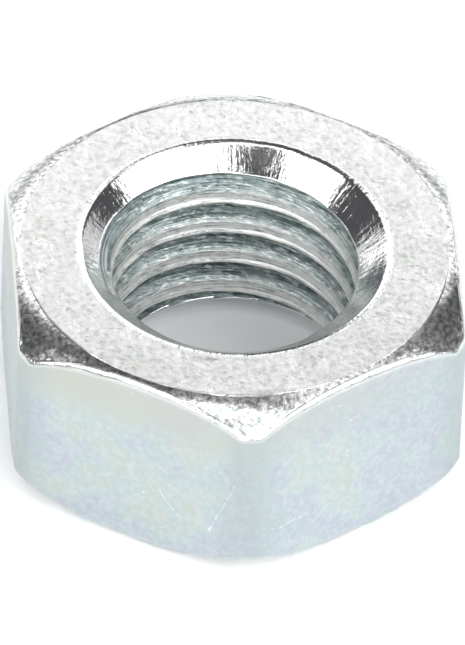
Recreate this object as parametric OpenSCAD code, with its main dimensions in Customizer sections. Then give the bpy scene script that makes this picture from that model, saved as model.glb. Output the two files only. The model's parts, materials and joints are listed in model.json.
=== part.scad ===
// Plain metric hexagon nut, cold forged in one piece, with a coarse right-hand thread.
//
// Frame: the origin is the centre of the lower bearing face, and +Z runs up the thread axis.
// Two wrench flats face +X and -X, and two upright corners lie on the Y axis.
// Both ends of the nut are alike: a flat bearing face, an outer chamfer and a countersink.

/* [Hexagon] */
// Width across the wrench flats
across_flats = 22; // [22:0.1:23.5]
// Height between the two bearing faces
nut_h = 10.7; // [8:0.1:14]
// Width across the six rounded-off upright corners
across_corners = 24.8; // [24.2:0.1:25.2]

/* [Outer chamfer] */
// Diameter of the flat bearing face at each end
face_d = 21; // [19:0.1:21.8]
// Slope of the chamfer below the bearing face, in degrees
chamfer_slope = 33; // [15:1:40]

/* [Thread] */
// Nominal thread diameter, which is the diameter at the bottom of the groove
thread_d = 14; // [13.6:0.1:14.2]
// Rise of the thread in one turn
pitch = 2; // [2:0.05:2.5]
// Diameter of the bore inside the thread crests
crest_d = 12.2; // [12:0.05:12.3]
// Diameter of the countersink where it meets the bearing face
countersink_d = 15.2; // [14.6:0.1:16]
// Full angle of the countersink cone
countersink_angle = 96; // [90:1:120]
// Direction, seen from above, in which the middle of the groove crosses the lower bearing face
thread_start = 215; // [0:5:355]
// Flat steps round each turn of the groove
steps_per_turn = 40; // [24:4:64]

/* [Hidden] */

zinc_colour = [0.82, 0.84, 0.86];

face_r = face_d / 2;
crest_r = crest_d / 2;
groove_r = thread_d / 2;
countersink_r = countersink_d / 2;
countersink_depth = (countersink_r - crest_r) / tan(countersink_angle / 2);

// How far cutters pass the end faces, and how far they overlap inside the bore
past_face = 1;
overlap = 0.2;

// The chamfer profile is drawn a little wider than the corners
chamfer_reach_r = across_corners / 2 + past_face;
chamfer_depth = (chamfer_reach_r - face_r) * tan(chamfer_slope);

// ISO metric groove: flanks at 30 degrees to the radius, and a flat bottom of an eighth of a pitch
flank_angle = 30;
groove_bottom_w = pitch / 8;
groove_mouth_r = crest_r - overlap;
groove_mouth_w = groove_bottom_w + 2 * (groove_r - groove_mouth_r) * tan(flank_angle);

// The groove starts a whole pitch below the nut and ends a pitch above it
groove_turns = ceil(nut_h / pitch) + 2;
groove_steps = groove_turns * steps_per_turn;

// The four corners of the groove's section after a number of steps: mouth low and high,
// then bottom high and low
function groove_section(step) =
    let (
        angle = thread_start + 360 * step / steps_per_turn,
        z = pitch * (step / steps_per_turn - 1)
    )
    [
        for (corner = [
            [groove_mouth_r, -groove_mouth_w / 2],
            [groove_mouth_r, groove_mouth_w / 2],
            [groove_r, groove_bottom_w / 2],
            [groove_r, -groove_bottom_w / 2]
        ])
            [corner[0] * cos(angle), corner[0] * sin(angle), z + corner[1]]
    ];

// The hexagon passes both end faces, and a round bar of the corners' width takes off its edges
module hexagon_bar() {
    intersection() {
        translate([0, 0, -past_face])
            rotate(30)
                cylinder(r = across_flats / 2 / cos(30), h = nut_h + 2 * past_face, $fn = 6);
        translate([0, 0, -2 * past_face])
            cylinder(d = across_corners, h = nut_h + 4 * past_face, $fn = 180);
    }
}

// A disc of the nut's height with both rims cut to the chamfer's slope
module chamfered_envelope() {
    rotate_extrude($fn = 180)
        polygon([
            [0, 0],
            [face_r, 0],
            [chamfer_reach_r, chamfer_depth],
            [chamfer_reach_r, nut_h - chamfer_depth],
            [face_r, nut_h],
            [0, nut_h]
        ]);
}

module bore() {
    translate([0, 0, -past_face])
        cylinder(r = crest_r, h = nut_h + 2 * past_face, $fn = 180);
}

// One countersink cone, opening downward from its narrow end to below the lower face
module countersink() {
    slope = tan(countersink_angle / 2);
    translate([0, 0, -past_face])
        cylinder(
            r1 = countersink_r + past_face * slope,
            r2 = crest_r - overlap,
            h = past_face + countersink_depth + overlap / slope,
            $fn = 180
        );
}

// The helical groove as one solid, four walls and two end caps
module thread_groove() {
    points = [for (step = [0 : groove_steps]) each groove_section(step)];
    walls = [
        for (step = [0 : groove_steps - 1], side = [0 : 3])
            let (
                a = 4 * step + side,
                b = 4 * step + (side + 1) % 4
            )
            each [[b, a, a + 4], [b, a + 4, b + 4]]
    ];
    last = 4 * groove_steps;
    caps = [[0, 1, 2, 3], [last + 3, last + 2, last + 1, last]];
    polyhedron(points = points, faces = concat(walls, caps), convexity = 10);
}

module hex_nut() {
    color(zinc_colour)
        difference() {
            intersection() {
                hexagon_bar();
                chamfered_envelope();
            }
            bore();
            countersink();
            translate([0, 0, nut_h])
                mirror([0, 0, 1])
                    countersink();
            thread_groove();
        }
}

hex_nut();
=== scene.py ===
import json
import math

import bpy
import numpy as np
from mathutils import Matrix, Vector


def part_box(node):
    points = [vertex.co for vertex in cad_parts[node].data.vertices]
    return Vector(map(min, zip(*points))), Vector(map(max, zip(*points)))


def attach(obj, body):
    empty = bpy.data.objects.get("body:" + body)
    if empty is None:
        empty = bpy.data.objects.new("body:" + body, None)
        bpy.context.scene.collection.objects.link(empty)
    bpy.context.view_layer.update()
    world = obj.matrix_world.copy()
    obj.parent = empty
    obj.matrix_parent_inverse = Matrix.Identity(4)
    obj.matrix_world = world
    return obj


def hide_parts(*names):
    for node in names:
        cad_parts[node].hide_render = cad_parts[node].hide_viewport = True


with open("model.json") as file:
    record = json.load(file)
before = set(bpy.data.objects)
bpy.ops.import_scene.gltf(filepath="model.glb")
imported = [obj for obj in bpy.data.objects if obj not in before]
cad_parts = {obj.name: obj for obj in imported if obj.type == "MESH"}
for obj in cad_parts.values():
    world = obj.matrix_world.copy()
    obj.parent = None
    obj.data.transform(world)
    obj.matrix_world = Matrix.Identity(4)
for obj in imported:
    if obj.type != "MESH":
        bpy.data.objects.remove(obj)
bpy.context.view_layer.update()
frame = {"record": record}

# ---------------------------------------------------------------- sizes, in millimetres
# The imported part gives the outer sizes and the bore. The rest repeat the part's own design values.
MM = 0.001
node_low, node_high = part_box("hex_nut")
thread_mount = next(m for m in frame["record"]["mounts"] if m["name"] == "thread")

FLAT_R = node_high.x / MM
CORNER_R = node_high.y / MM
HEIGHT = node_high.z / MM
CREST_R = thread_mount["dims"]["r_mm"]
GROOVE_R = 7.0
PITCH = 2.0
GROOVE_BOTTOM_W = PITCH / 8
THREAD_START = math.radians(215)
CREST_EDGE = GROOVE_BOTTOM_W / 2 + (GROOVE_R - CREST_R) * math.tan(math.pi / 6)
FACE_R = 10.5
COUNTERSINK_R = 7.6
COUNTERSINK_HALF_ANGLE = math.radians(48)

# The forged chamfer bulges: it leaves the face flatter than the part's cone and ends steeper
CHAMFER_SLOPE_AT_FACE = math.radians(20)
CHAMFER_SLOPE_AT_CORNER = math.radians(49)

# Rounding of the forged and turned edges
COUNTERSINK_RIM_ROUND = 0.42
FACE_RIM_ROUND = 0.12
FLANK_EDGE_ROUND = 0.48
UPRIGHT_EDGE_BLEND = 0.09

# The bore's wall: rounding of the thread and of its meeting with the countersinks, and how far
# below each face the mesh changes from the plain cone to the computed wall
THREAD_BLEND = 0.1
COUNTERSINK_BLEND = 0.04
THREAD_END = 0.9

# The tap cut the first turn at each end less deeply: by how much, and from where to where below the face
SHALLOW_TURN = 0.4
SHALLOW_TURN_START = 1.0
SHALLOW_TURN_END = 2.2

# It left streaks along the helix, and a burr along the lower lip of each crest
STREAK_DEPTH = 0.02
BURR_HEIGHT = 0.10
BURR_WIDTH = 0.13
BURR_PAST_LIP = 0.06
BURR_FADE = 0.12

# Quads round the nut, set closer together at the corners, and rows down each stretch of the section
COLUMNS = 360
COLUMN_CROWDING = 0.55
COUNTERSINK_ROWS = 7
RIM_ROWS = 3
FACE_ROWS = 12
CHAMFER_ROWS = 14
EDGE_ROWS = 9
FLANK_ROWS = 26
THREAD_ROWS = 146
ZONES = ("face", "chamfer", "flank", "countersink", "thread")

# Depth of the unevenness: forged and tapped zones, smoother zones, the beaten flank edges in
# waves and in nicks, and broad waves on the flats and elsewhere
ROUGH_DEPTH = 0.010
SMOOTH_DEPTH = 0.005
EDGE_WAVES = 0.03
EDGE_NICKS = 0.04
FLAT_WAVES = 0.02
OTHER_WAVES = 0.004

# The lower edges get this share of the upper edges' whitening, smoothness and relief, as painted shade
# where they meet the floor
LOWER_EDGE_SHARE = 0.3

# Small marks from the plating barrel, on each face and each flat
FACE_DENTS = 70
FLAT_DENTS = 16
FLAT_SCRATCHES = 3
FLAT_SCRATCH_WIDTH = 0.16
FLAT_SCRATCH_DEPTH = 0.014

SEED = 14


# ---------------------------------------------------------------- noise
def lattice(cell, seed):
    """A repeatable number from -1 to 1 for each whole-number cell."""
    x, y, z = (cell[..., k].astype(np.int64).astype(np.uint32) for k in range(3))
    h = x * np.uint32(0x8DA6B343) ^ y * np.uint32(0xD8163841) ^ z * np.uint32(0xCB1AB31F)
    h ^= np.uint32(seed * 2654435761 % 2**32)
    h = (h ^ (h >> np.uint32(15))) * np.uint32(0x2C1B3C6D)
    h = (h ^ (h >> np.uint32(12))) * np.uint32(0x297A2D39)
    h ^= h >> np.uint32(15)
    return h.astype(float) / 2**31 - 1


def noise(points, cell, seed):
    """Smooth noise from -1 to 1 with features about one cell wide."""
    q = points / cell
    base = np.floor(q)
    f = q - base
    f = f * f * (3 - 2 * f)
    total = 0
    for dx in (0, 1):
        for dy in (0, 1):
            for dz in (0, 1):
                w = (
                    (f[..., 0] if dx else 1 - f[..., 0])
                    * (f[..., 1] if dy else 1 - f[..., 1])
                    * (f[..., 2] if dz else 1 - f[..., 2])
                )
                total = total + w * lattice(base + (dx, dy, dz), SEED + seed)
    return total


# ---------------------------------------------------------------- the nut's section
def column_angles():
    """Angles of the mesh's columns."""
    t = np.arange(COLUMNS) / COLUMNS * 6
    crowded = t - COLUMN_CROWDING * np.sin(2 * math.pi * t) / (2 * math.pi)
    return math.pi / 6 + crowded * math.pi / 3


def hex_radius(theta):
    """Distance from the axis to the outline: a hexagon whose corners a round bar takes off."""
    from_flat = (theta + math.pi / 6) % (math.pi / 3) - math.pi / 6
    hexagon = FLAT_R / np.cos(from_flat)
    return -soft_max(-hexagon, np.full_like(hexagon, -CORNER_R), UPRIGHT_EDGE_BLEND)


def line(start, end, rows):
    """Points between two places, with both ends left out."""
    return [start + (end - start) * k / (rows + 1) for k in range(1, rows + 1)]


def fillet(before, corner, after, radius, rows):
    """An arc of rows + 1 points that rounds the corner in every section."""
    a = before - corner
    b = after - corner
    a = a / np.linalg.norm(a, axis=-1, keepdims=True)
    b = b / np.linalg.norm(b, axis=-1, keepdims=True)
    half = np.arccos(np.clip((a * b).sum(-1), -1, 1)) / 2
    to_centre = (a + b) / np.linalg.norm(a + b, axis=-1, keepdims=True)
    centre = corner + to_centre * (radius / np.sin(half))[..., None]
    reach = (radius / np.tan(half))[..., None]
    first = corner + a * reach - centre
    last = corner + b * reach - centre
    sweep = math.pi - 2 * half
    points = []
    for k in range(rows + 1):
        t = k / rows
        w0 = np.sin((1 - t) * sweep) / np.sin(sweep)
        w1 = np.sin(t * sweep) / np.sin(sweep)
        points.append(centre + first * w0[..., None] + last * w1[..., None])
    return points


def flipped(points):
    """The same points at the nut's other end."""
    if isinstance(points, list):
        return [flipped(p) for p in points]
    return np.stack([points[..., 0], HEIGHT - points[..., 1]], -1)


def chamfer_drop(r):
    """How far the bulged chamfer lies below the face at a radius."""
    longest = CORNER_R - FACE_R
    t = np.linspace(0, 1, 9)[:, None] * (r - FACE_R)
    steepening = CHAMFER_SLOPE_AT_CORNER - CHAMFER_SLOPE_AT_FACE
    slope = CHAMFER_SLOPE_AT_FACE + steepening * t / longest
    rise = np.tan(slope)
    return ((rise[1:] + rise[:-1]) / 2 * np.diff(t, axis=0)).sum(0)


def between(curve, first, last, rows):
    """Rows on a curve, spread evenly in radius between two places and with both left out."""
    curve = np.array(curve)
    points = []
    for k in range(1, rows + 1):
        r = first[..., 0] + (last[..., 0] - first[..., 0]) * k / (rows + 1)
        place = (r - curve[0, :, 0]) / (curve[-1, :, 0] - curve[0, :, 0]) * (len(curve) - 1)
        step = np.clip(np.floor(place).astype(int), 0, len(curve) - 2)
        column = np.arange(len(r))
        part = (place - step)[:, None]
        points.append(curve[step, column] * (1 - part) + curve[step + 1, column] * part)
    return points


def soft_max(a, b, blend):
    """The larger of two, with the meeting line rounded over the blend distance."""
    h = np.maximum(blend - np.abs(a - b), 0) / blend
    return np.maximum(a, b) + h * h * blend / 4


def groove_phase(theta, z):
    """Height above the middle of the nearest groove turn, from minus to plus half a pitch."""
    along = z - PITCH * (theta - THREAD_START) / (2 * math.pi)
    return (along + PITCH / 2) % PITCH - PITCH / 2


def painted_thread_shading(theta, z):
    """Painted light on the thread: 0 for painted shade in the groove, rising to 1 for a painted
    highlight at the crest's lower lip.
    """
    below_groove = -groove_phase(theta, z) % PITCH
    lip = PITCH - CREST_EDGE
    profile = (
        (0, 0),
        (CREST_EDGE - 0.05, 0.30),
        (CREST_EDGE + 0.15, 0.85),
        (lip, 1),
        (lip + 0.12, 0),
        (PITCH, 0),
    )
    return np.interp(below_groove, *zip(*profile))


def countersink_radius(z):
    """Radius of the nearer countersink's cone at a height."""
    return COUNTERSINK_R - np.minimum(z, HEIGHT - z) * math.tan(COUNTERSINK_HALF_ANGLE)


def inner_radius(theta, z):
    """Radius of the bore's wall: helical thread and the two countersinks."""
    off = np.abs(groove_phase(theta, z))
    from_face = np.minimum(z, HEIGHT - z)
    first_turn = (SHALLOW_TURN_START, SHALLOW_TURN_END)
    bottom = GROOVE_R - np.interp(from_face, first_turn, (SHALLOW_TURN, 0))
    flank = bottom - (off - GROOVE_BOTTOM_W / 2) / math.tan(math.pi / 6)
    groove = -soft_max(-flank, -bottom, THREAD_BLEND)
    thread = soft_max(groove, np.full_like(groove, CREST_R), THREAD_BLEND)
    return soft_max(thread, countersink_radius(z), COUNTERSINK_BLEND)


def outline(theta):
    """The closed section at every angle.

    It is an array of rows x columns x (radius, height), with the zone of each row.
    """
    radius = hex_radius(theta)
    ones = np.ones_like(radius)

    def at(r, z):
        return np.stack([r * ones, z * ones], -1)

    reach = radius - FACE_R
    chamfer_r = [FACE_R + reach * k / CHAMFER_ROWS for k in range(CHAMFER_ROWS + 1)]
    drops = [chamfer_drop(r) for r in chamfer_r]
    inner_r = COUNTERSINK_R - THREAD_END * math.tan(COUNTERSINK_HALF_ANGLE)

    top = {
        "sink": at(inner_r, HEIGHT - THREAD_END),
        "rim": at(COUNTERSINK_R, HEIGHT),
        "face": at(FACE_R, HEIGHT),
        "edge": np.stack([radius, HEIGHT - drops[-1]], -1),
        "chamfer": [np.stack([r, HEIGHT - d], -1) for r, d in zip(chamfer_r, drops)],
    }
    low = {k: flipped(p) for k, p in top.items()}

    rows, zones = [], []

    def add(points, zone):
        rows.extend(points)
        zones.extend([zone] * len(points))

    def half(p, other, order):
        """Adds one end, from the countersink to the flats or back; returns where the flats begin."""
        slopes = p["chamfer"]
        rim = fillet(p["sink"], p["rim"], p["face"], COUNTERSINK_RIM_ROUND * ones, RIM_ROWS)
        face = fillet(p["rim"], p["face"], slopes[2], FACE_RIM_ROUND * ones, RIM_ROWS)
        edge = fillet(slopes[-2], p["edge"], other["edge"], FLANK_EDGE_ROUND * ones, EDGE_ROWS)
        parts = [
            (line(p["sink"], rim[0], COUNTERSINK_ROWS), "countersink"),
            (rim, "countersink"),
            (line(rim[-1], face[0], FACE_ROWS), "face"),
            (face, "face"),
            (between(slopes, face[-1], edge[0], CHAMFER_ROWS), "chamfer"),
            (edge, "flank"),
        ]
        for points, zone in parts if order > 0 else reversed(parts):
            add(points[::order], zone)
        return edge[-1]

    last = half(top, low, 1)
    add(line(last, flipped(last), FLANK_ROWS), "flank")
    half(low, top, -1)
    heights = np.linspace(THREAD_END, HEIGHT - THREAD_END, THREAD_ROWS)
    add([at(inner_radius(theta, z * ones), z) for z in heights], "thread")
    return np.array(rows), zones


def grid_normals(p):
    """Outward unit normals of the closed grid of points."""
    down = np.roll(p, -1, 0) - np.roll(p, 1, 0)
    across = np.roll(p, -1, 1) - np.roll(p, 1, 1)
    n = np.cross(down, across)
    return n / np.linalg.norm(n, axis=-1, keepdims=True)


def on_flank(facing, along, z):
    """A point on the wrench flat that faces the given angle, in degrees."""
    a = math.radians(facing)
    return np.array(
        [
            FLAT_R * math.cos(a) - along * math.sin(a),
            FLAT_R * math.sin(a) + along * math.cos(a),
            z,
        ]
    )


def dent(points, centre, radius, depth):
    """A shallow bowl, as a depth at every point."""
    d2 = ((points - centre) ** 2).sum(-1)
    return depth * np.exp(-d2 / radius**2)


def scratch(points, start, end, width, depth):
    """A groove between two points, deepest half-way, as a depth at every point."""
    along = end - start
    t = np.clip(((points - start) @ along) / (along @ along), 0, 1)
    d2 = ((points - start - t[..., None] * along) ** 2).sum(-1)
    depth_along = 0.4 + 0.6 * np.sin(math.pi * np.clip(t, 0.05, 0.95))
    return depth * np.exp(-d2 / width**2) * depth_along


# The larger marks on the two front flats, drawn in the finish: the angle that the flat faces,
# then places along it with their heights, in millimetres
SCRATCHES = (
    (240, ((4.7, 6.8), (5.5, 6.2), (5.0, 4.7), (4.2, 2.6))),
    (240, ((1.5, 4.2), (2.0, 3.4), (2.7, 2.8))),
    (300, ((-5.3, 3.1), (-4.5, 2.8), (-3.6, 3.0), (-2.9, 2.9))),
    (300, ((-3.3, 3.8), (-2.9, 3.8))),
)
PITS = (
    (240, -4.5, 4.6),
    (240, 0.6, 3.6),
    (300, -0.5, 8.1),
    (300, 0.3, 6.3),
    (300, -0.6, 6.1),
    (300, -0.5, 2.4),
)
SCRATCH_WIDTH = 0.07
PIT_RADIUS = 0.11


def handling_marks(points):
    """Dents and scratches from tumbling in the plating barrel, as a depth at every point."""
    depth = np.zeros(points.shape[:2])
    rng = np.random.default_rng(SEED)
    for level in (0, HEIGHT):
        for _ in range(FACE_DENTS):
            a = rng.uniform(0, 2 * math.pi)
            r = rng.uniform(COUNTERSINK_R + 0.2, FACE_R)
            centre = np.array([r * math.cos(a), r * math.sin(a), level])
            depth += dent(points, centre, rng.uniform(0.18, 0.5), rng.uniform(0.006, 0.03))
    for facing in range(0, 360, 60):
        for _ in range(FLAT_DENTS):
            centre = on_flank(facing, rng.uniform(-5.5, 5.5), rng.uniform(1.2, HEIGHT - 1.2))
            depth += dent(points, centre, rng.uniform(0.2, 0.6), rng.uniform(0.004, 0.014))
        for _ in range(FLAT_SCRATCHES):
            along, z = rng.uniform(-5, 5), rng.uniform(1.5, HEIGHT - 1.5)
            start = on_flank(facing, along, z)
            end = on_flank(facing, along + rng.uniform(-1.6, 1.6), z + rng.uniform(-0.8, 0.8))
            depth += scratch(points, start, end, FLAT_SCRATCH_WIDTH, FLAT_SCRATCH_DEPTH)
    return depth


def build_nut():
    """The worn nut's surface points, with what mesh_from_grid needs to know about them."""
    theta = column_angles()
    section, zones = outline(theta)
    r, z = section[..., 0], section[..., 1]
    p = np.stack([r * np.cos(theta), r * np.sin(theta), z], -1)
    n = grid_normals(p)

    zone = np.array(zones)[:, None]
    rough = np.where((zone == "chamfer") | (zone == "thread"), ROUGH_DEPTH, SMOOTH_DEPTH)
    edge_like = (zone == "flank") * np.clip(np.abs(n[..., 2]) * 1.6, 0, 1)
    # Painted shade: the lower edges get only a share of the edges' whitening, where they meet the floor
    edge_wear_and_highlight = edge_like * np.where(n[..., 2] > 0, 1, LOWER_EDGE_SHARE)
    push = rough * noise(p, 0.7, 1) + 0.5 * rough * noise(p, 0.3, 2)
    push += edge_like * (EDGE_WAVES * noise(p, 1.1, 3) + EDGE_NICKS * noise(p, 0.4, 4))
    push += np.where(zone == "flank", FLAT_WAVES, OTHER_WAVES) * noise(p, 3.5, 5)

    # Noise on a cylinder round the groove's section runs along the helix
    phase = groove_phase(theta, z)
    turn = 2 * math.pi * phase / PITCH
    streak = np.stack([2.2 * np.cos(turn), 2.2 * np.sin(turn), p[..., 0] * 0.12], -1)
    in_thread = (zone == "thread") * np.clip((r - countersink_radius(z)) / BURR_FADE, 0, 1)
    burr = np.exp(-(((phase - CREST_EDGE - BURR_PAST_LIP) / BURR_WIDTH) ** 2))
    burr = burr * (1 + 0.5 * noise(p, 0.9, 7))
    push += in_thread * (STREAK_DEPTH * noise(streak, 0.35, 6) + BURR_HEIGHT * burr)
    push -= handling_marks(p) * (zone != "thread")
    p = p + n * push[..., None]
    return p, zones, theta, edge_wear_and_highlight


def mesh_from_grid(name, p, zones, theta, edge_wear_and_highlight):
    """One closed mesh of quads, with the point values that the two finishes read."""
    rows, columns = p.shape[:2]
    index = np.arange(rows * columns).reshape(rows, columns)
    a = index
    b = np.roll(index, -1, 0)
    quads = np.stack([a, b, np.roll(b, -1, 1), np.roll(a, -1, 1)], -1).reshape(-1, 4)
    mesh = bpy.data.meshes.new(name)
    mesh.from_pydata((p.reshape(-1, 3) * MM).tolist(), [], quads.tolist())
    mesh.polygons.foreach_set("use_smooth", np.ones(len(quads), bool))

    def point_values(label, values, kind="FLOAT"):
        layer = mesh.attributes.new(label, kind, "POINT")
        field = "value" if kind == "FLOAT" else "vector"
        layer.data.foreach_set(field, np.asarray(values, np.float32).reshape(-1))

    for zone in ZONES:
        weight = np.array([float(z == zone) for z in zones])
        point_values(zone, np.repeat(weight, columns))
    turn = 2 * math.pi * groove_phase(theta, p[..., 2]) / PITCH
    helix = np.stack([np.cos(turn), np.sin(turn), p[..., 0] * 0.06], -1)
    point_values("helix", helix, "FLOAT_VECTOR")
    point_values("painted_shading", painted_thread_shading(theta, p[..., 2]))
    point_values("edge", edge_wear_and_highlight)

    cone = countersink_radius(p[..., 2])
    cut_by_tap = np.hypot(p[..., 0], p[..., 1]) > cone + COUNTERSINK_BLEND
    in_thread = cut_by_tap & np.array([z == "thread" for z in zones])[:, None]
    threaded = in_thread & np.roll(in_thread, -1, 0)
    mesh.polygons.foreach_set("material_index", threaded.reshape(-1).astype(np.int32))
    mesh.update()
    piece = bpy.data.objects.new(name, mesh)
    bpy.context.scene.collection.objects.link(piece)
    return piece


# ---------------------------------------------------------------- materials
class Tree:
    """Short names for the shader nodes that the finishes use."""

    def __init__(self, name):
        self.material = bpy.data.materials.new(name)
        self.material.use_nodes = True
        self.nodes = self.material.node_tree.nodes
        self.links = self.material.node_tree.links
        self.nodes.clear()
        self.shader = self.nodes.new("ShaderNodeBsdfPrincipled")
        out = self.nodes.new("ShaderNodeOutputMaterial")
        self.links.new(self.shader.outputs[0], out.inputs[0])
        coords = self.nodes.new("ShaderNodeTexCoord").outputs["Object"]
        self.place = self.vector("SCALE", coords, scale=1 / MM)

    def feed(self, socket, value):
        if isinstance(value, bpy.types.NodeSocket):
            self.links.new(value, socket)
        else:
            socket.default_value = value

    def vector(self, operation, a, b=None, scale=None):
        node = self.nodes.new("ShaderNodeVectorMath")
        node.operation = operation
        self.feed(node.inputs[0], a)
        if b is not None:
            self.feed(node.inputs[1], b)
        if scale is not None:
            self.feed(node.inputs["Scale"], scale)
        return node.outputs["Value" if operation in ("LENGTH", "DOT_PRODUCT") else "Vector"]

    def math(self, operation, a, b=0.0):
        node = self.nodes.new("ShaderNodeMath")
        node.operation = operation
        self.feed(node.inputs[0], a)
        self.feed(node.inputs[1], b)
        return node.outputs[0]

    def along(self, axis):
        """Distance along a direction from the middle of the nut's lower face."""
        return self.vector("DOT_PRODUCT", self.place, axis)

    def total(self, *values):
        result = values[0]
        for value in values[1:]:
            result = self.math("ADD", result, value)
        return result

    def attribute(self, name, output="Fac"):
        node = self.nodes.new("ShaderNodeAttribute")
        node.attribute_name = name
        return node.outputs[output]

    def noise(self, size, detail=2.0, where=None, roughness=0.55):
        """Noise from 0 to 1 whose features are about size millimetres wide."""
        node = self.nodes.new("ShaderNodeTexNoise")
        self.feed(node.inputs["Vector"], where or self.place)
        node.inputs["Scale"].default_value = 1 / size
        node.inputs["Detail"].default_value = detail
        node.inputs["Roughness"].default_value = roughness
        return node.outputs["Fac"]

    def crystals(self, size):
        """0 at the middle of each crystal of about size millimetres, rising towards its borders."""
        node = self.nodes.new("ShaderNodeTexVoronoi")
        bend = self.vector("SCALE", (1, 1, 1), scale=self.noise(2.5 * size, 2.0))
        self.feed(node.inputs["Vector"], self.vector("ADD", self.place, bend))
        node.inputs["Scale"].default_value = 1 / size
        return node.outputs["Distance"]

    def ramp(self, value, *stops):
        node = self.nodes.new("ShaderNodeValToRGB")
        self.feed(node.inputs[0], value)
        ramp = node.color_ramp
        while len(ramp.elements) < len(stops):
            ramp.elements.new(0.5)
        for element, (position, colour) in zip(ramp.elements, stops):
            element.position = position
            element.color = (*colour, 1)
        return node.outputs["Color"]

    def span(self, value, low, high, to_low=0.0, to_high=1.0):
        """Maps a stretch of values onto another, and clamps outside it."""
        node = self.nodes.new("ShaderNodeMapRange")
        for socket, number in zip(node.inputs[1:5], (low, high, to_low, to_high)):
            socket.default_value = number
        self.feed(node.inputs[0], value)
        return node.outputs[0]

    def blend(self, amount, a, b):
        node = self.nodes.new("ShaderNodeMix")
        node.data_type = "RGBA"
        self.feed(node.inputs[0], amount)
        self.feed(node.inputs[6], a)
        self.feed(node.inputs[7], b)
        return node.outputs[2]

    def stroke(self, start, end, width):
        """1 on the line between two places in millimetres, falling to 0 at the width."""
        along = end - start
        per_length = tuple(along / max(along @ along, width**2))
        from_start = self.vector("SUBTRACT", self.place, tuple(start))
        share = self.vector("DOT_PRODUCT", from_start, per_length)
        nearest = self.vector("SCALE", tuple(along), scale=self.span(share, 0, 1))
        away = self.vector("LENGTH", self.vector("SUBTRACT", from_start, nearest))
        return self.span(away, 0, width, 1.0, 0.0)

    def finish(self, colour, roughness, height, metal=1.0):
        """Height is in millimetres."""
        bump = self.nodes.new("ShaderNodeBump")
        bump.inputs["Distance"].default_value = MM
        self.links.new(height, bump.inputs["Height"])
        self.links.new(colour, self.shader.inputs["Base Color"])
        self.links.new(roughness, self.shader.inputs["Roughness"])
        self.links.new(bump.outputs[0], self.shader.inputs["Normal"])
        self.shader.inputs["Metallic"].default_value = metal
        return self.material


# Colours of the plate: the passivation film, the worn places, and the turned, forged and tapped ones.
# Some are painted light: painted shade on the upright corners and in the thread's grooves, and painted
# highlights on the edges and along the thread's crests.
FILM = (
    (0.38, (0.51, 0.555, 0.525)),
    (0.46, (0.475, 0.565, 0.56)),
    (0.54, (0.485, 0.505, 0.575)),
    (0.64, (0.465, 0.54, 0.56)),
)
FILM_BLOOM = (0.61, 0.645, 0.655, 1)
CREAM_TINT = (0.535, 0.55, 0.505, 1)
PAINTED_CORNER_SHADE = (0.42, 0.48, 0.485, 1)
NICKED = (0.80, 0.82, 0.81, 1)
MARKED = (0.85, 0.87, 0.87, 1)
WORN_EDGE_AND_HIGHLIGHT = (0.88, 0.89, 0.88, 1)
COUNTERSUNK = (0.88, 0.89, 0.89, 1)
FROSTED_FACE = (
    (0.38, (0.70, 0.72, 0.70)),
    (0.46, (0.85, 0.87, 0.84)),
    (0.54, (0.92, 0.93, 0.91)),
    (0.60, (1, 1, 1)),
)
FORGED_CHAMFER = (
    (0.36, (0.32, 0.37, 0.38)),
    (0.50, (0.74, 0.73, 0.71)),
    (0.62, (0.97, 0.97, 0.95)),
)
# The root colour is painted shade in the grooves, the crest colour a painted highlight along each
# crest's lower lip
THREAD_CREST_HIGHLIGHT = ((0.38, (0.50, 0.53, 0.52)), (0.50, (1.0, 1.0, 0.97)))
THREAD_ROOT_SHADE = ((0.40, (0.05, 0.085, 0.09)), (0.62, (0.33, 0.41, 0.42)))
THREAD_FLECK = (0.97, 0.98, 0.94, 1)
FLOOR = ((0.3, (0.89, 0.905, 0.915)), (0.7, (0.91, 0.925, 0.935)))

# The floor is a sheet of opal acrylic, faintly lit from below
FLOOR_GLOW = 0.06

# Slow changes of tone run from one side of the nut to the other, this far from its axis
SHADE_REACH = 9

# Depth below the upper face at which the cream tint on the flats begins and is whole
CREAM_TINT_START = 3.6
CREAM_TINT_WHOLE = 1.8


def larger_marks(t, bloom):
    """1 on the scratches and pits of the front flats, broken up by the bloom."""
    marks = [
        t.stroke(on_flank(facing, *start), on_flank(facing, *end), SCRATCH_WIDTH)
        for facing, path in SCRATCHES
        for start, end in zip(path, path[1:])
    ]
    marks += [t.stroke(on_flank(*pit), on_flank(*pit), PIT_RADIUS) for pit in PITS]
    mark = marks[0]
    for other in marks[1:]:
        mark = t.math("MAXIMUM", mark, other)
    return t.math("MULTIPLY", mark, t.span(bloom, 0.38, 0.56, 0.1, 1.0))


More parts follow.
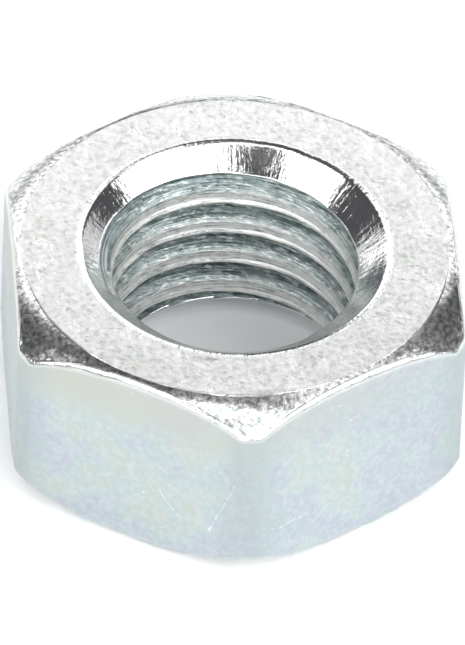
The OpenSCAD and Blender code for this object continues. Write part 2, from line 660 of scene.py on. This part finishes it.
def flank_finish(t, film, bloom, mark, edge, ring, across):
    """Colour of the flats, from the clean film to the bare metal and painted highlight of the worn
    edges, with painted shade on the upright corners.
    """
    colour = t.blend(t.span(bloom, 0.40, 0.78), t.ramp(film, *FILM), FILM_BLOOM)
    # A cream tint near the top of the flats, strongest on the left
    near_top = t.span(t.along((0, 0, 1)), HEIGHT - CREAM_TINT_START, HEIGHT - CREAM_TINT_WHOLE)
    to_the_left = t.span(across, -SHADE_REACH, SHADE_REACH, 1.0, 0.2)
    colour = t.blend(t.math("MULTIPLY", near_top, to_the_left), colour, CREAM_TINT)
    nick = t.noise(0.11, 1.0, where=t.vector("MULTIPLY", t.place, (0.3, 0.3, 1.0)))
    colour = t.blend(t.span(nick, 0.76, 0.84), colour, NICKED)
    colour = t.blend(mark, colour, MARKED)
    # Painted shade: the upright corners are darkened, standing in for the dimmer floor that they reflect
    colour = t.blend(t.span(ring, CORNER_R - 0.6, CORNER_R, 0.0, 0.5), colour, PAINTED_CORNER_SHADE)
    # The edges are whitened partly as bare worn metal and partly as a painted highlight
    return t.blend(t.math("MULTIPLY", edge, 0.8), colour, WORN_EDGE_AND_HIGHLIGHT)


def face_finish(t, speckle, cloud, crystal):
    """Colour of the bearing faces: frosted crystals, with painted shade that makes them a little darker
    towards the front.
    """
    frost = t.total(t.math("MULTIPLY", speckle, 0.8), t.math("MULTIPLY", cloud, 0.2))
    frost = t.math("ADD", frost, t.span(crystal, 0.1, 0.8, -0.035, 0.045))
    # Painted shade: the faces are up to 15 % darker towards the front and right
    towards_back = t.along((-0.3, 1, 0))
    painted_face_shade = t.span(towards_back, -SHADE_REACH, SHADE_REACH, 0.85, 1.0)
    return t.vector("SCALE", t.ramp(frost, *FROSTED_FACE), scale=painted_face_shade)


def zinc_outside():
    """Bright zinc with a clear blue passivation, its grain set by the zone of the nut."""
    t = Tree("zinc_plate")
    face, chamfer, flank, edge = (t.attribute(name) for name in ("face", "chamfer", "flank", "edge"))
    sink = t.math("ADD", t.attribute("countersink"), t.attribute("thread"))

    across = t.along((1, 0, 0))
    outwards = t.vector("MULTIPLY", t.place, (1, 1, 0))
    ring = t.vector("LENGTH", outwards)
    film = t.math("ADD", t.noise(3.2, 3.0), t.span(across, -SHADE_REACH, SHADE_REACH, -0.03, 0.04))
    bloom = t.noise(0.32, 4.0, roughness=0.65)
    mark = larger_marks(t, bloom)
    speckle = t.noise(0.30, 3.0, roughness=0.65)
    cloud = t.noise(1.6, 2.0)
    crystal = t.crystals(0.36)
    grit = t.noise(0.24, 3.0, roughness=0.6)

    colour = flank_finish(t, film, bloom, mark, edge, ring, across)
    colour = t.blend(face, colour, face_finish(t, speckle, cloud, crystal))
    colour = t.blend(chamfer, colour, t.ramp(grit, *FORGED_CHAMFER))
    colour = t.blend(sink, colour, COUNTERSUNK)

    patches = t.span(t.noise(1.3, 2.0), 0.3, 0.7)
    dull_flank = t.span(film, 0.3, 0.7, 0.36, 0.46)
    rubbed = t.span(edge, 0, 1, 1.0, 0.5)
    roughness = t.total(
        t.math("MULTIPLY", flank, t.math("MULTIPLY", dull_flank, rubbed)),
        t.math("MULTIPLY", face, t.span(patches, 0, 1, 0.26, 0.42)),
        t.math("MULTIPLY", chamfer, 0.22),
        t.math("MULTIPLY", sink, t.span(cloud, 0.3, 0.7, 0.07, 0.16)),
    )

    # Rings from turning, and the chatter of the countersinking tool down the cone
    ring_place = t.nodes.new("ShaderNodeCombineXYZ")
    t.links.new(ring, ring_place.inputs[0])
    turning = t.noise(0.14, 2.0, where=ring_place.outputs[0])
    around = t.vector("SCALE", t.vector("NORMALIZE", outwards), scale=COUNTERSINK_R)
    drift = t.vector("SCALE", t.place, scale=0.15)
    chatter = t.noise(0.30, 3.0, where=t.vector("ADD", around, drift))
    relief = (
        (face, speckle, 0.018),
        (sink, speckle, 0.018),
        (sink, chatter, 0.018),
        (face, crystal, 0.019),
        (chamfer, grit, 0.011),
        (edge, grit, 0.030),
        (flank, bloom, 0.018),
        (flank, mark, -0.03),
        (t.math("ADD", face, sink), turning, 0.004),
    )
    heights = [
        t.math("MULTIPLY", zone, t.math("MULTIPLY", pattern, depth)) for zone, pattern, depth in relief
    ]
    return t.finish(colour, roughness, t.total(*heights))


def zinc_thread():
    """The same plate in the bore: thinner, greener and streaked along the helix by the tap, with painted
    shade in the grooves and a painted highlight along each crest's lower lip.
    """
    t = Tree("zinc_plate_thread")
    helix = t.attribute("helix", "Vector")
    streak = t.noise(0.16, 3.0, where=helix)
    mottle = t.noise(0.5, 3.0)
    grain = t.math("ADD", t.math("MULTIPLY", streak, 0.6), t.math("MULTIPLY", mottle, 0.4))
    # Painted shade in the grooves, blending into a painted highlight at each crest's lower lip
    crest = t.math("POWER", t.attribute("painted_shading"), 1.3)
    painted_shading = t.math("MULTIPLY", crest, t.span(streak, 0.36, 0.56, 0.6, 1.0))
    colour = t.blend(painted_shading, t.ramp(grain, *THREAD_ROOT_SHADE), t.ramp(grain, *THREAD_CREST_HIGHLIGHT))

    # The rise with height keeps the flecks from repeating in each turn
    along_turn = t.vector("MULTIPLY", helix, (1, 1, 10))
    rise = t.vector("MULTIPLY", t.place, (0, 0, 0.9))
    fleck = t.noise(0.24, 3.0, where=t.vector("ADD", along_turn, rise))
    # The flecks are strongest on the painted highlight
    bright = t.math("MULTIPLY", t.span(fleck, 0.54, 0.63), t.span(painted_shading, 0, 0.8, 0.42, 1.0))
    colour = t.blend(bright, colour, THREAD_FLECK)
    roughness = t.span(mottle, 0.3, 0.7, 0.28, 0.44)
    height = t.total(
        t.math("MULTIPLY", streak, 0.035),
        t.math("MULTIPLY", t.noise(0.18, 3.0), 0.045),
    )
    return t.finish(colour, roughness, height, metal=0.6)


def pale_floor():
    t = Tree("pale_floor")
    grain = t.noise(6.0, 2.0)
    roughness = t.span(grain, 0, 1, 0.75, 0.85)
    height = t.math("MULTIPLY", grain, 0.02)
    material = t.finish(t.ramp(grain, *FLOOR), roughness, height, metal=0.0)
    t.shader.inputs["Emission Color"].default_value = (1, 1, 1, 1)
    t.shader.inputs["Emission Strength"].default_value = FLOOR_GLOW
    return material


# ---------------------------------------------------------------- camera, floor and light
LENS = 900.0
CAMERA_AZIMUTH = -5.7
CAMERA_ELEVATION = 43.6
CAMERA_ROLL = -2.53
CAMERA_DISTANCE = 792.0
AIM_RIGHT = 0.137
AIM_UP = 3.74

# Half the width of the floor, and the gap that keeps it clear of the nut, in metres
FLOOR_REACH = 2.0
FLOOR_GAP = 0.00002

# Softboxes: azimuth and elevation of the middle, width and height in degrees, brightness
SOFTBOXES = (
    ("front_left", -69, 38, 30, 38, 3.0),
    ("front_low", -18, 27, 56, 26, 3.0),
    ("front_high", -26, 70, 34, 14, 3.0),
    ("front_right", 50, 40, 64, 48, 3.0),
    ("right_high", 100, 68, 34, 18, 1.3),
    ("back_left", -154, 31, 36, 48, 1.46),
    ("back_right", 154, 31, 36, 48, 1.32),
    ("low_left", -124, 8, 30, 14, 0.85),
    ("low_right", 120, 8, 40, 16, 0.65),
    ("overhead", 0, 90, 14, 14, 0.2),
)
SOFTBOX_DISTANCE = 0.5
ROOM = (0.08, 0.08, 0.085, 1)


def direction(azimuth, elevation):
    """Unit vector from the nut towards a place; azimuth 0 is in front, on -Y, and 90 is on +X."""
    a, e = math.radians(azimuth), math.radians(elevation)
    return Vector((math.sin(a) * math.cos(e), -math.cos(a) * math.cos(e), math.sin(e)))


def place_camera():
    """Aims at the middle of the upper face, shifted by the aim values and rolled."""
    back = direction(CAMERA_AZIMUTH, CAMERA_ELEVATION)
    right = Vector((0, 0, 1)).cross(back).normalized()
    up = back.cross(right)
    roll = math.radians(CAMERA_ROLL)
    side = right * math.cos(roll) - up * math.sin(roll)
    top = right * math.sin(roll) + up * math.cos(roll)
    face_centre = Vector((0, 0, HEIGHT))
    eye = face_centre + back * CAMERA_DISTANCE - side * AIM_RIGHT - top * AIM_UP
    data = bpy.data.cameras.new("camera")
    data.lens = LENS
    data.clip_start = 0.05
    data.clip_end = 5
    camera = bpy.data.objects.new("camera", data)
    turn = Matrix((side, top, back)).transposed()
    camera.matrix_world = Matrix.Translation(eye * MM) @ turn.to_4x4()
    bpy.context.scene.collection.objects.link(camera)
    bpy.context.scene.camera = camera


def place_floor():
    mesh = bpy.data.meshes.new("floor")
    corners = [(x * FLOOR_REACH, y * FLOOR_REACH, 0) for x, y in ((-1, -1), (1, -1), (1, 1), (-1, 1))]
    mesh.from_pydata(corners, [], [(0, 1, 2, 3)])
    mesh.materials.append(pale_floor())
    floor = bpy.data.objects.new("floor", mesh)
    floor.location.z = node_low.z - FLOOR_GAP
    bpy.context.scene.collection.objects.link(floor)


def place_softboxes():
    """Area lights that face the nut from one distance, sized by the angle each one fills."""
    for name, azimuth, elevation, width, height, brightness in SOFTBOXES:
        away = direction(azimuth, elevation)
        data = bpy.data.lights.new(name, "AREA")
        data.shape = "RECTANGLE"
        data.size = 2 * SOFTBOX_DISTANCE * math.tan(math.radians(width / 2))
        data.size_y = 2 * SOFTBOX_DISTANCE * math.tan(math.radians(height / 2))
        data.energy = brightness * math.pi * data.size * data.size_y
        box = bpy.data.objects.new(name, data)
        box.location = away * SOFTBOX_DISTANCE
        box.rotation_mode = "QUATERNION"
        box.rotation_quaternion = away.to_track_quat("Z", "Y")
        box.visible_camera = False
        bpy.context.scene.collection.objects.link(box)


def set_room():
    world = bpy.data.worlds.new("studio")
    world.use_nodes = True
    world.node_tree.nodes["Background"].inputs[0].default_value = ROOM
    bpy.context.scene.world = world
    bpy.context.scene.view_settings.view_transform = "Standard"


# ---------------------------------------------------------------- the scene
place_camera()
place_floor()
place_softboxes()
set_room()

nut = mesh_from_grid("hex_nut_body", *build_nut())
nut.data.materials.append(zinc_outside())
nut.data.materials.append(zinc_thread())
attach(nut, "root")
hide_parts("hex_nut")
